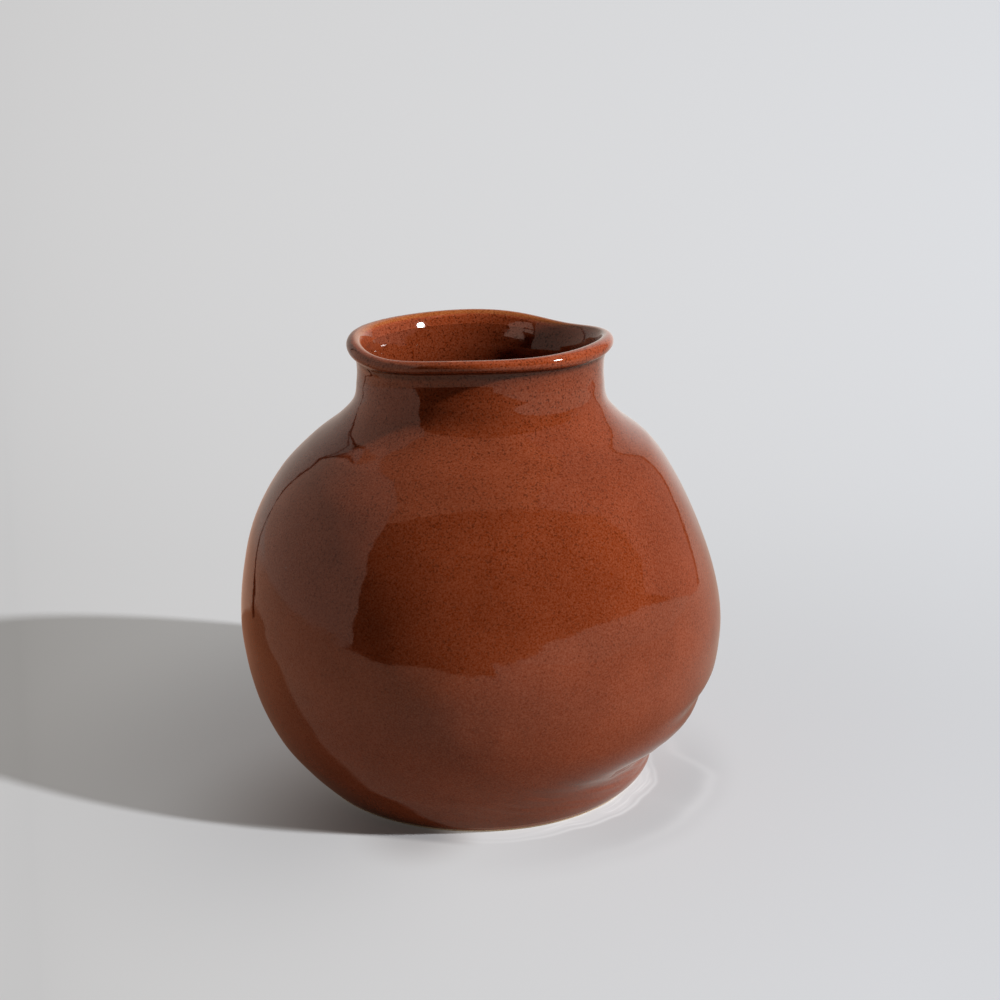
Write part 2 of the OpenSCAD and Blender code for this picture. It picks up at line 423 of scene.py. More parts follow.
def add_socket(tree, name, kind, direction="INPUT", subtype="NONE"):
    """A socket on the outside of a node group."""
    made = tree.interface.new_socket(name=name, in_out=direction, socket_type=kind)
    if subtype != "NONE":
        made.subtype = subtype


# The rule that the clay members follow

TREE_NAME = "Turned clay"
MARKS = ("back_dip", "front_dip", "right_rise", "back_rise", "front_flat", "right_swell", "left_swell")
DENTS = ("tuck", "fold", "thumb")
DENT_LENGTHS = tuple(name + end for name in DENTS for end in ("_height", "_rise"))
LENGTHS = (*MARKS, *DENTS, *DENT_LENGTHS, "wrinkle", "wrinkle_size", "ripple", "ripple_size",
           "fade_low", "fade_high")
ANGLES = tuple(name + end for name in (*MARKS, *DENTS) for end in ("_at", "_spread"))
WRINKLE_RUN = 0.5
WRINKLE_RISE = 0.5
MERGE = 0.002 * MM
SHARP_ANGLE = math.radians(38.0)


def bell_group():
    """A group that gives the bell-shaped share of a mark at an angle round the vase."""
    tree = bpy.data.node_groups.new("Bell round the vase", "GeometryNodeTree")
    for name in ("Angle", "At", "Spread"):
        add_socket(tree, name, "NodeSocketFloat", subtype="ANGLE")
    add_socket(tree, "Share", "NodeSocketFloat", "OUTPUT")
    write = TreeWriter(tree)
    given = write.outputs("NodeGroupInput")
    away = write.math("WRAP", given["Angle"] - given["At"], math.pi, -math.pi)
    write.node("NodeGroupOutput", [write.bell(away, 0.0, given["Spread"])])
    return tree


class TurnedClay(TreeWriter):
    """Writes the tree that turns a profile round the axis, with dents, an uneven mouth and a ripple.

    A point of the profile has its radius, shift and height as X, Y and Z. Its attributes say how far it
    takes on the mouth's unevenness and the bead's swelling, at which level it is dented and how deep its
    glaze is. Deep glaze is darker, and also paints the shade under the lip and inside the walls.
    """

    def __init__(self):
        super().__init__(bpy.data.node_groups.new(TREE_NAME, "GeometryNodeTree"))
        self.add_sockets()
        self.given = self.outputs("NodeGroupInput")
        self.bells = bell_group()
        self.flat_grid()
        self.cosine = self.math("COSINE", self.turn)
        self.sine = self.math("SINE", self.turn)
        self.level = self.attribute("level", "FLOAT")
        self.finish(self.place())

    def add_sockets(self):
        add_socket(self.tree, "Profile", "NodeSocketGeometry")
        add_socket(self.tree, "Sides", "NodeSocketInt")
        for name in LENGTHS:
            add_socket(self.tree, name, "NodeSocketFloat", subtype="DISTANCE")
        for name in ANGLES:
            add_socket(self.tree, name, "NodeSocketFloat", subtype="ANGLE")
        add_socket(self.tree, "Glaze", "NodeSocketMaterial")
        add_socket(self.tree, "Member", "NodeSocketGeometry", "OUTPUT")

    def flat_grid(self):
        """A flat grid with a column for each side and a row for each point of the profile."""
        profile, columns = self.given["Profile"], self.given["Sides"] + 1.0
        count = self.value("GeometryNodeAttributeDomainSize", [profile], "Point Count", component="MESH")
        self.grid = self.value("GeometryNodeMeshGrid", [1.0, 1.0, columns, count], "Mesh")
        across, along, _ = self.parts(self.value("GeometryNodeInputPosition"))
        self.turn = (across + 0.5) * (2.0 * math.pi)
        self.row = self.math("ROUND", (along + 0.5) * (count - 1.0))

    def sampled(self, field, kind):
        """What the profile's point in the same row holds."""
        inputs = {"Geometry": self.given["Profile"], "Value": field, "Index": self.row}
        return self.value("GeometryNodeSampleIndex", inputs, "Value", data_type=kind)

    def attribute(self, name, kind):
        return self.sampled(self.value("GeometryNodeInputNamedAttribute", [name], data_type=kind), kind)

    def bell_at(self, name):
        """The share of a mark at an angle round the vase."""
        inputs = [self.turn, self.given[name + "_at"], self.given[name + "_spread"]]
        return self.value("GeometryNodeGroup", inputs, node_tree=self.bells)

    def size_at(self, name):
        return self.given[name] * self.bell_at(name)

    def dent_share(self, name):
        """The share of a dent at an angle and a level."""
        beside = self.bell(self.level, self.given[name + "_height"], self.given[name + "_rise"])
        return self.bell_at(name) * beside

    def pressed(self, radius, height):
        """How far dents, wrinkles and ripple press the wall in. They die away towards the foot."""
        given, way = self.given, self.turn * radius
        shares = {name: self.dent_share(name) for name in DENTS}
        dents = sum(given[name] * part for name, part in shares.items())
        spot = self.joined(radius * self.cosine, radius * self.sine, height)
        ripple = given["ripple"] * self.noise(spot, given["ripple_size"], 2.0, 0.4)
        slanted = self.joined(way * WRINKLE_RUN, self.level - way * WRINKLE_RISE, 0.0)
        creases = self.noise(slanted, given["wrinkle_size"], 1.0, 0.3)
        wrinkled = self.math("SQRT", self.largest(shares["tuck"], shares["fold"]))
        fade = self.spread(self.level, given["fade_low"], given["fade_high"])
        return fade * (dents + given["wrinkle"] * creases * wrinkled + ripple)

    def place(self):
        """The place of each point, with the mouth's uneven plan and height and its bead's swelling."""
        size = self.size_at
        profile = self.sampled(self.value("GeometryNodeInputPosition"), "FLOAT_VECTOR")
        radius, shift, height = self.parts(profile)
        uneven, roll_out, roll_up = self.parts(self.attribute("mouth", "FLOAT_VECTOR"))
        rise = (size("right_rise") + size("back_rise")) - (size("back_dip") + size("front_dip"))
        swell = size("right_swell") + size("left_swell")
        pressed = uneven * size("front_flat") + self.pressed(radius, height)
        reach = radius + roll_out * swell - pressed
        top = height + uneven * rise + roll_up * swell
        return self.joined(shift + reach * self.cosine, reach * self.sine, top)

    def finish(self, place):
        """The grid with its points in place, closed, smooth but for its sharp edges, and glazed."""
        kept = self.value("GeometryNodeStoreNamedAttribute", {
            "Geometry": self.grid, "Name": "glaze_depth",
            "Value": self.attribute("glaze_depth", "FLOAT")}, data_type="FLOAT", domain="POINT")
        moved = self.value("GeometryNodeSetPosition", {"Geometry": kept, "Position": place})
        closed = self.value("GeometryNodeMergeByDistance", {"Geometry": moved, "Distance": MERGE})
        smooth = self.value("GeometryNodeSetShadeSmooth", {"Geometry": closed}, domain="FACE")
        bent = self.value("GeometryNodeInputMeshEdgeAngle", output="Unsigned Angle")
        sharp = self.value("GeometryNodeSetShadeSmooth", {
            "Geometry": smooth, "Selection": bent > SHARP_ANGLE, "Shade Smooth": False}, domain="EDGE")
        real = self.value("GeometryNodeRealizeInstances", [sharp])
        glazed = self.value("GeometryNodeSetMaterial", {"Geometry": real, "Material": self.given["Glaze"]})
        self.node("NodeGroupOutput", [glazed])


# The profile of each member

USUAL_GLAZE = 0.5
# Inner faces take deep glaze and so part of the pooled colour: painted shade inside the mouth and the walls
INNER_GLAZE_AND_SHADE = 0.76
THIN_GLAZE = 0.08
# Height below the crease where the darker gathered glaze starts; it also paints the shade under the bead
GATHER_AND_SHADE_START = 1.5 * MM
FUNNEL_START = 2.0 * MM
FUNNEL_END = 3.0 * MM
GUARD = 0.05 * MM
STEP = 0.05 * MM


class Point:
    """A point of a member's profile, with what the turning rule needs to know about it."""

    def __init__(self, radius, height, shift, level, uneven=0.0, roll=(0.0, 0.0), depth=USUAL_GLAZE):
        self.place = (radius, shift, height)
        self.mouth = (uneven, roll[0], roll[1])
        self.level = level
        # Deep glaze is darker: partly gathered glaze, partly painted shade under the lip and inside the walls
        self.depth = depth


def ease(value, low, high):
    """A smooth rise from 0 to 1 between two values."""
    t = min(max((value - low) / (high - low), 0.0), 1.0)
    return t * t * (3.0 - 2.0 * t)


def between(low, high, count):
    """Evenly spaced values from low to high."""
    return [low + (high - low) * i / count for i in range(count + 1)]


def guarded(values):
    """The values with one more just inside each end, so that shading runs on over a seam."""
    way = math.copysign(GUARD, values[-1] - values[0])
    return [values[0], values[0] + way, *values[1:-1], values[-1] - way, values[-1]]


def bent_line(t, start, way_out, end, way_in):
    """A value on a smooth curve from start to end, with its slope at both."""
    return ((2 * t ** 3 - 3 * t ** 2 + 1) * start + (t ** 3 - 2 * t ** 2 + t) * way_out
            + (3 * t ** 2 - 2 * t ** 3) * end + (t ** 3 - t ** 2) * way_in)


class Wall:
    """The outer face as a smooth curve through the stations, and the wall behind it."""

    def __init__(self, profile, mouth):
        names = ("seat", "heel", "low", "hip", "belly", "upper", "shoulder", "high", "turn", "root", "bend",
                 "waist", "collar", "crease")
        stations = [getattr(profile, name) for name in names]
        self.heights = [s[0] for s in stations]
        self.radii = [s[1] for s in stations]
        self.shifts = [s[2] for s in stations]
        self.profile = profile
        self.mouth = mouth

    def slopes(self, values):
        last = len(values) - 1
        pairs = [(max(i - 1, 0), min(i + 1, last)) for i in range(last + 1)]
        return [(values[b] - values[a]) / (self.heights[b] - self.heights[a]) for a, b in pairs]

    def curve(self, z, values):
        """The smooth curve through a list of station values."""
        i = 0
        while i < len(values) - 2 and z >= self.heights[i + 1]:
            i += 1
        h = self.heights[i + 1] - self.heights[i]
        m = self.slopes(values)
        return bent_line((z - self.heights[i]) / h, values[i], h * m[i], values[i + 1], h * m[i + 1])

    def lean(self, z):
        """How far the outer face leans out, beside its rise."""
        return (self.curve(z + STEP, self.radii) - self.curve(z - STEP, self.radii)) / (2 * STEP)

    def inner_lean(self, z):
        """How far the inner face leans out, beside its rise."""
        (r0, z0), (r1, z1) = (self.spot(z + d, self.thickness(z + d)) for d in (-STEP, STEP))
        return (r1 - r0) / (z1 - z0)

    def thickness(self, z):
        p = self.profile
        neck = ease(z, p.turn[0], p.bend[0])
        narrows = 1.0 - ease(z, p.waist[0] - FUNNEL_START, p.crease[0] + FUNNEL_END)
        return p.wall + neck * (p.neck_wall - p.wall + p.funnel * narrows)

    def spot(self, z, depth):
        """Radius and height of the wall at a level, some way in from the outer face."""
        s = self.lean(z)
        n = math.sqrt(1 + s * s)
        return self.curve(z, self.radii) - depth / n, z + depth * s / n

    def placed(self, spot, z, glaze):
        """A point at a spot of the wall, with the shift and the unevenness of its level."""
        uneven = ease(z, self.profile.bend[0], self.profile.crease[0])
        return Point(*spot, self.curve(z, self.shifts), z, uneven, depth=glaze)

    def outer_point(self, z):
        """A point of the outer face. Its glaze gathers under the lip, where the darker gathered glaze also
        paints the shade under the bead.
        """
        gathers = ease(z, self.profile.collar[0] + GATHER_AND_SHADE_START, self.profile.crease[0])
        return self.placed(self.spot(z, 0.0), z, USUAL_GLAZE + (1.0 - USUAL_GLAZE) * gathers)

    def inner_point(self, z):
        # The inner face's deep glaze darkens it: painted shade inside the walls
        return self.placed(self.spot(z, self.thickness(z)), z, INNER_GLAZE_AND_SHADE)

    def key(self, z):
        """The ridge in the middle of a seam."""
        (r0, z0), (r1, z1) = self.spot(z, 0.0), self.spot(z, self.thickness(z))
        return self.placed(((r0 + r1) / 2, (z0 + z1) / 2 + self.profile.key), z, USUAL_GLAZE)

    def outer(self, low, high, rows):
        return [self.outer_point(z) for z in guarded(between(low, high, rows))]

    def inner(self, high, low, rows):
        return [self.inner_point(z) for z in guarded(between(high, low, rows))]

    def ring(self, low, high, outer_rows, inner_rows):
        """The section of a member from one seam up to the next."""
        outside = self.outer(low, high, outer_rows)
        inside = self.inner(high, low, inner_rows)
        return [*outside, self.key(high), *inside, self.key(low)]


def sweep_between(a, way_a, b, way_b, count):
    """Points on a smooth curve from a to b that sets off along way_a and arrives along way_b."""
    reach = math.dist(a, b)
    return [tuple(bent_line(i / count, a[k], reach * way_a[k], b[k], reach * way_b[k]) for k in (0, 1))
            for i in range(1, count)]


BEAD_START = -72.0
BEAD_END = 140.0
BEAD_ROWS = 44
BEAD_SIDE = -30.0
BEAD_TOP = (70.0, 110.0)
TOP_LOSS = 0.42
CREASE_ROWS = 10
FUNNEL_ROWS = 16
FUNNEL_THIN = 0.4


def lip_points(wall):
    """The rolled bead: a tight crease over the neck, round the bead and down into the mouth's funnel."""
    p, m = wall.profile, wall.mouth
    z = p.crease[0]

    def way(degrees):
        f = math.radians(degrees)
        return math.cos(f), math.sin(f)

    def bead(degrees):
        out, up = way(degrees)
        return m.bead_radius + m.bead_half * out, m.bead_height + m.bead_half * up

    def tangent(degrees):
        out, up = way(degrees)
        return -up, out

    def point(spot, degrees, weight, glaze):
        out, up = way(degrees)
        return Point(*spot, p.crease[2], z, 1.0, (weight * out, weight * up), glaze)

    s, inner_s = wall.lean(z), wall.inner_lean(z)
    up = (s / math.hypot(1, s), 1 / math.hypot(1, s))
    down = (-inner_s / math.hypot(1, inner_s), -1 / math.hypot(1, inner_s))
    crease = sweep_between(wall.spot(z, 0.0), up, bead(BEAD_START), tangent(BEAD_START), CREASE_ROWS)
    inside = wall.spot(z, wall.thickness(z))
    funnel = sweep_between(bead(BEAD_END), tangent(BEAD_END), inside, down, FUNNEL_ROWS)
    points = [wall.outer_point(z)]
    # The crease and the bead's underside take the deepest, darkest glaze: partly gathered glaze, partly
    # painted shade under the bead
    points += [point(spot, BEAD_START, (i + 1) / CREASE_ROWS, 1.0) for i, spot in enumerate(crease)]
    for f in between(BEAD_START, BEAD_END, BEAD_ROWS):
        glaze = 1.0 - USUAL_GLAZE * ease(f, BEAD_START, BEAD_SIDE) - TOP_LOSS * ease(f, *BEAD_TOP)
        points.append(point(bead(f), f, 1.0, glaze))
    # Down the funnel the glaze goes from thin at the rim to the inner depth, whose darker colour paints shade
    # inside the mouth
    for i, spot in enumerate(funnel):
        t = (i + 1) / FUNNEL_ROWS
        glaze = THIN_GLAZE + (INNER_GLAZE_AND_SHADE - THIN_GLAZE) * ease(t, 0.0, FUNNEL_THIN)
        points.append(point(spot, BEAD_END, 1 - t, glaze))
    return [*points, wall.inner_point(z), wall.key(z)]


EDGE_ROWS = 6
RING_ROWS = 8
UNDERSIDE_ROWS = 10
FLOOR_ROWS = 24


def floor_edge(foot):
    """Radius at which the clay floor meets the lower wall."""
    return foot.radius - foot.width + foot.ledge + foot.slip


def foot_points(foot, profile):
    """The section of the foot ring, with round edges on its flat face."""
    outer = foot.radius
    inner = outer - foot.width
    edge = foot.edge
    seat_height, seat_radius, shift = profile.seat

    def rounded(middle, degrees):
        a = math.radians(degrees)
        return middle + edge * math.cos(a), edge + edge * math.sin(a)

    spots = [(inner + edge, 0.0), (inner + foot.width / 2, 0.0), (outer - edge, 0.0)]
    spots += [rounded(outer - edge, f) for f in between(-90.0, 0.0, EDGE_ROWS)[1:]]
    spots += [(outer + (seat_radius - outer) * t, edge + (seat_height - edge) * t)
              for t in between(0.0, 1.0, RING_ROWS)[1:]]
    rim = floor_edge(foot)
    spots += [(rim, seat_height), (rim, foot.recess), (inner, foot.recess), (inner, edge)]
    spots += [rounded(inner + edge, f) for f in between(180.0, 270.0, EDGE_ROWS)[1:-1]]
    return [Point(r, z, shift, seat_height) for r, z in spots]


def floor_points(foot, profile):
    """The section of the clay floor, from the middle of its underside to the middle of its top."""
    seat_height, _, shift = profile.seat
    rim = floor_edge(foot)
    spots = [(r, foot.recess) for r in between(0.0, rim, UNDERSIDE_ROWS)]
    spots += [(r, foot.recess + foot.floor) for r in between(rim, 0.0, FLOOR_ROWS)]
    return [Point(r, z, shift, seat_height, depth=INNER_GLAZE_AND_SHADE) for r, z in spots]


# Materials

GLAZE_IOR = 1.5
TONE_SIZE = 30.0 * MM
TONE_RANGE = (0.35, 0.65)
THIN_RANGE = (0.5, 0.05)
# Glaze depth over which the pooled colour comes in: partly gathered glaze, partly painted shade
GATHERED_AND_SHADE_RANGE = (0.55, 1.0)
GRAIN_SIZE = 0.8 * MM
GRAIN_RANGE = (0.3, 0.7)
GRAIN_DARK = (0.80, 0.52, 0.12)
GRAIN_PALE = (1.20, 1.48, 1.95)
GRAIN_SHINE = (0.45, 0.55)
FLECK_SHINE = 0.5
FLECK_HEIGHTS = (40.0 * MM, 200.0 * MM)
FLECK_STRENGTH = (0.2, 0.68)
THIN_FLECKS = -0.3
GATHERED_FLECKS = 0.4
CROWD_SIZES = 14.0
CROWD_HEIGHTS = (100.0 * MM, 190.0 * MM)
CROWD_MORE = 0.15
FLECK_LIMITS = (0.36, 0.43)
FLECK_EDGE = 0.07
SMEAR_SIZE = 12.0 * MM
SMEAR_MORE = 1.5
PEEL_SIZE = 2.6 * MM
PEEL_DEPTH = 0.016 * MM
PEEL_STRENGTH = 0.8
CLAY_GRAIN = 0.7 * MM
CLAY_RANGE = (0.35, 0.7)
CLAY_ROUGHNESS = 0.85
CLAY_BUMP = 0.6 * MM
CLAY_BUMP_DEPTH = 0.15 * MM
CLAY_BUMP_STRENGTH = 0.5
RAGGED_SIZE = 6.0 * MM
RAGGED_DEPTH = 0.5 * MM
WIPED_EDGE = (0.2 * MM, 0.35 * MM)


def new_material(name):
    """A material, its writer and its Object coordinates."""
    material = bpy.data.materials.new(name)
    write = emptied(material)
    return material, write, write.value("ShaderNodeTexCoord", output="Object")


def dress(write, looks):
    """Ends a material in a shader with the given looks."""
    shader = write.value("ShaderNodeBsdfPrincipled", {"IOR": GLAZE_IOR, **looks})
    write.node("ShaderNodeOutputMaterial", [shader])


def bump(write, strength, depth, height):
    return write.value("ShaderNodeBump", {"Strength": strength, "Distance": depth, "Height": height})


def fleck_mask(write, where, size):
    """Small dark flecks, closer together in some places than in others, and towards the neck."""
    more = write.spread(write.parts(where)[2], *CROWD_HEIGHTS, 0.0, CROWD_MORE)
    crowd = write.noise(where, size * CROWD_SIZES, 1.0) + more
    limit = write.spread(crowd, *GRAIN_RANGE, *FLECK_LIMITS, "LINEAR")
    return write.spread(limit - write.noise(where, size, 1.0), 0.0, FLECK_EDGE)


def glaze_looks(write, where, finish):
    """Colour and shine of the glaze: amber where thin, dark where it gathers and where shade is painted under
    the lip and inside the walls, with grain and dull flecks.
    """
    tone = write.spread(write.noise(where, TONE_SIZE), *TONE_RANGE)
    depth = write.value(
        "ShaderNodeAttribute", output="Fac", attribute_name="glaze_depth", attribute_type="GEOMETRY")
    thin = write.spread(depth, *THIN_RANGE)
    # Pooled colour where the glaze is deep: gathered glaze, and painted shade under the lip and inside the
    # walls
    gathered_and_shade = write.spread(depth, *GATHERED_AND_SHADE_RANGE)
    coat = write.mix(tone, finish.rust_deep, finish.rust)
    coat = write.mix(thin, coat, finish.amber)
    coat = write.mix(gathered_and_shade, coat, finish.pooled)
    grain = write.noise(where, GRAIN_SIZE, 2.0, 0.6)
    fine = write.mix(write.spread(grain, *GRAIN_RANGE, kind="LINEAR"), GRAIN_DARK, GRAIN_PALE)
    mottled = write.value("ShaderNodeVectorMath", [coat, fine], operation="MULTIPLY")
    strength = write.spread(write.parts(where)[2], *FLECK_HEIGHTS, *FLECK_STRENGTH, "LINEAR")
    strength = strength + THIN_FLECKS * thin + GATHERED_FLECKS * gathered_and_shade
    flecks = fleck_mask(write, where, finish.fleck_size) * strength
    dull = write.spread(flecks, 0.0, 1.0, 1.0, FLECK_SHINE, "LINEAR")
    shine = write.spread(grain, *GRAIN_RANGE, *GRAIN_SHINE, "LINEAR") * dull
    return write.mix(flecks, mottled, finish.fleck), shine


def clay_colour(write, where, finish):
    """Buff clay with fine darker grains."""
    grains = write.spread(write.noise(where, CLAY_GRAIN, 3.0, 0.6), *CLAY_RANGE)
    return write.mix(grains, finish.clay, finish.clay_deep)


def glaze_material(name, finish):
    """The glossy rust glaze."""
    material, write, where = new_material(name)
    coat, shine = glaze_looks(write, where, finish)
    smear = write.noise(where, SMEAR_SIZE)
    rough = write.spread(smear, *GRAIN_RANGE, finish.gloss, finish.gloss * SMEAR_MORE, "LINEAR")
    peel = bump(write, PEEL_STRENGTH, PEEL_DEPTH, write.noise(where, PEEL_SIZE, 1.0, 0.4))
    dress(write, {"Base Color": coat, "Specular IOR Level": shine, "Roughness": rough, "Normal": peel})
    return material


def foot_material(name, finish, bare):
    """Glaze that stops short of the table, over bare clay up to a height."""
    material, write, where = new_material(name)
    line = write.parts(where)[2] + write.noise(where, RAGGED_SIZE) * RAGGED_DEPTH
    glazed = write.spread(line, *(bare + way for way in WIPED_EDGE))
    coat, _ = glaze_looks(write, where, finish)
    grains = write.noise(where, CLAY_BUMP, 2.0, 0.6) * (1.0 - glazed)
    dress(write, {
        "Base Color": write.mix(glazed, clay_colour(write, where, finish), coat),
        "Roughness": write.spread(glazed, 0.0, 1.0, CLAY_ROUGHNESS, finish.gloss),
        "Normal": bump(write, CLAY_BUMP_STRENGTH, CLAY_BUMP_DEPTH, grains)})
    return material


# Making a member from its profile

SIDES = 256
GLAZE_NAME = "Rust glaze"
PROFILE_KINDS = {"mouth": "FLOAT_VECTOR", "level": "FLOAT", "glaze_depth": "FLOAT"}


def profile_object(name, points):
    """A line of points, closed by its first point again, that holds what the turning rule reads."""
    rows = [*points, points[0]]
    mesh = bpy.data.meshes.new(name)
    mesh.from_pydata([p.place for p in rows], [(i, i + 1) for i in range(len(rows) - 1)], [])
    for key, kind in PROFILE_KINDS.items():
        mesh.attributes.new(key, kind, "POINT")
    for i, p in enumerate(rows):
        mesh.attributes["mouth"].data[i].vector = p.mouth
        mesh.attributes["level"].data[i].value = p.level
        mesh.attributes["glaze_depth"].data[i].value = p.depth
    made = bpy.data.objects.new(name, mesh)
    bpy.context.scene.collection.objects.link(made)
    return made


def tree_values(scene, material):
    """What the turning tree is given, by the names of its sockets."""
    p = scene.vase_profile
    values = {"Sides": SIDES, "Glaze": material, "fade_low": p.seat[0], "fade_high": p.heel[0]}
    for group in (scene.vase_mouth, scene.vase_dents):
        values.update({key: getattr(group, key) for key in (*LENGTHS, *ANGLES) if hasattr(group, key)})
    return values


def turn_member(scene, name, points, material, node):
    """Turns a profile into a finished mesh that stands for a node of the part."""
    made = profile_object(name, points)
    tree = bpy.data.node_groups.get(TREE_NAME) or TurnedClay().tree
    values = tree_values(scene, material)
    modifier = made.modifiers.new(TREE_NAME, "NODES")
    modifier.node_group = tree
    for socket in tree.interface.items_tree:
        if socket.in_out == "INPUT" and socket.name in values:
            modifier[socket.identifier] = values[socket.name]
    evaluated = made.evaluated_get(bpy.context.evaluated_depsgraph_get())
    mesh = bpy.data.meshes.new_from_object(evaluated)
    made.modifiers.clear()
    line = made.data
    made.data = mesh
    bpy.data.meshes.remove(line)
    mesh.name = name
    if not mesh.polygons:
        raise RuntimeError(f"{name} came out empty")
    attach(made, BODY)
    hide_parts(node)


def shared_glaze(scene):
    """The glaze, made once."""
    return bpy.data.materials.get(GLAZE_NAME) or glaze_material(GLAZE_NAME, scene.vase_finish)


FLOOR_WIPED = 0.5 * MM
LOWER_ROWS = (110, 40)
SHOULDER_ROWS = (150, 44)
NECK_ROWS = (70, 50)


class VASE_OT_foot_ring(bpy.types.Operator):
    """Makes the foot ring, wiped bare of glaze at the table"""

    bl_idname = "vase.foot_ring"
    bl_label = "Foot Ring"

    def execute(self, context):
        scene = context.scene
        material = foot_material("Foot glaze and clay", scene.vase_finish, scene.vase_foot.bare)
        points = foot_points(scene.vase_foot, scene.vase_profile)
        turn_member(scene, "wiped_foot_ring", points, material, "foot_ring")
        return {"FINISHED"}


class VASE_OT_floor(bpy.types.Operator):
    """Makes the clay floor, glazed above and bare below"""

    bl_idname = "vase.floor"
    bl_label = "Clay Floor"

    def execute(self, context):
        scene = context.scene
        bare = scene.vase_foot.recess + FLOOR_WIPED
        material = foot_material("Floor glaze and clay", scene.vase_finish, bare)
        points = floor_points(scene.vase_foot, scene.vase_profile)
        turn_member(scene, "glazed_floor", points, material, "base_disc")
        return {"FINISHED"}


class VASE_OT_lower_wall(bpy.types.Operator):
    """Makes the lower wall, with the tuck and the thumb mark"""

    bl_idname = "vase.lower_wall"
    bl_label = "Lower Wall"

    def execute(self, context):
        scene = context.scene
        p, foot = scene.vase_profile, scene.vase_foot
        wall = Wall(p, scene.vase_mouth)
        floor_top = foot.recess + foot.floor
        points = wall.outer(p.seat[0], p.belly_seam, LOWER_ROWS[0])
        points += [wall.key(p.belly_seam)]
        points += wall.inner(p.belly_seam, floor_top, LOWER_ROWS[1])
        points += [Point(floor_edge(foot), z, p.seat[2], p.seat[0], depth=INNER_GLAZE_AND_SHADE)
                   for z in (floor_top, p.seat[0])]
        turn_member(scene, "glazed_lower_wall", points, shared_glaze(scene), "lower_wall")
        return {"FINISHED"}


class VASE_OT_shoulder(bpy.types.Operator):
    """Makes the shoulder, from the belly's seam to the root of the neck"""

    bl_idname = "vase.shoulder"
    bl_label = "Shoulder"

    def execute(self, context):
        scene = context.scene
        p = scene.vase_profile
        points = Wall(p, scene.vase_mouth).ring(p.belly_seam, p.neck_seam, *SHOULDER_ROWS)
        turn_member(scene, "glazed_shoulder", points, shared_glaze(scene), "shoulder_wall")
        return {"FINISHED"}


class VASE_OT_neck(bpy.types.Operator):
    """Makes the neck, which takes on the mouth's uneven shape"""

    bl_idname = "vase.neck"
    bl_label = "Neck"

    def execute(self, context):
        scene = context.scene
        p = scene.vase_profile
        points = Wall(p, scene.vase_mouth).ring(p.neck_seam, p.crease[0], *NECK_ROWS)
        turn_member(scene, "glazed_neck", points, shared_glaze(scene), "neck_collar")
        return {"FINISHED"}


class VASE_OT_lip(bpy.types.Operator):
    """Makes the rolled lip"""

    bl_idname = "vase.lip"
    bl_label = "Rolled Lip"

    def execute(self, context):
        scene = context.scene
        points = lip_points(Wall(scene.vase_profile, scene.vase_mouth))
        turn_member(scene, "glazed_lip", points, shared_glaze(scene), "rolled_lip")
        return {"FINISHED"}


# The paper of the stage, in metres

FLOOR_REACH = 4.0
SWEEP_START = 0.30
SWEEP_RADIUS = 1.2
SWEEP_ROWS = 24
WALL_HEIGHT = 3.0
PAPER_ROUGHNESS = 0.9

# Where the paper that the vase mirrors ends: in front, at the right and at a seam
FLOOR_FRONT = 0.95
FLOOR_SIDE = -0.55
FLOOR_TURN = 0.12
FLOOR_RIGHT = 1.2
PAPER_START = 0.49
PAPER_SLANT = 0.474
PAPER_CORNER = 0.50
PAPER_SPLAY = 0.93
PAPER_GAP = 0.07
SEAM_WAY = (0.782, 0.623)
SEAM_AWAY = 0.168
SEAM_HALF = 0.014
SEAM_START = 0.16

# The pool of light beside the foot: a line with streaks within it, an arc and shade between
POOL_EDGE = (0.0910, 0.0860)
POOL_TURN = (math.radians(-20.0), math.radians(-4.0))
POOL_LINE = 0.0008
POOL_SOFT = 0.004
POOL_WAVE = 0.009
POOL_WAVE_SIZE = 0.45
POOL_SIDE = (math.radians(-20.0), math.radians(24.0))
POOL_CLOSE = (0.150, 0.095)
STREAK = 0.0014
STREAK_TURN = 4.0
STREAK_RANGE = (0.45, 0.75)
STREAK_LIGHT = 0.7
WITHIN_LIGHT = 0.2
ARC_REACH = (0.117, 0.098)
ARC_TURN = (math.radians(-13.0), math.radians(4.0))
ARC_LINE = 0.0025
ARC_LIGHT = 0.35
RING_REACH = (0.133, 0.105)

# The shade on the shadow's side and at the foot
AXIS_CLEAR = 0.01
SHADE_SIDE = (-0.4, 0.5)
SHADE_REACH = (0.27, 0.075)
CONTACT_SPOT = (-0.030, -0.085)
SHADOW_LINE = (0.186, 0.0914)
SHADOW_EDGE = (-0.0055, -0.0005)
SHADOW_END = (0.002, -0.026)

# Light by place: across the picture, on the floor right of the vase, thrown on the vase and mirrored in it
VIEW_SIDE = 0.3
VIEW_NEAR = 0.4
GLOW_EASE = 0.6
DIP_SPOT = (0.17, 0.05)
DIP_REACH = 0.16
BACK_RANGE = (0.1, 1.3)
BOUNCE_ACROSS = (0.0, 0.3, 0.8, 0.25)
BOUNCE_SPOT = (0.06, -0.24)
BOUNCE_FRONT = (0.22, 0.08, 0.0, 1.25)
MIRROR_DIM = (0.10, 0.24, 0.55, 1.0)
MIRROR_NEAR = 0.1
MIRROR_BACK = (0.3, 0.75)
MIRROR_LEFT = (0.1, -0.3)
MIRROR_RIGHT = (0.45, 0.95)


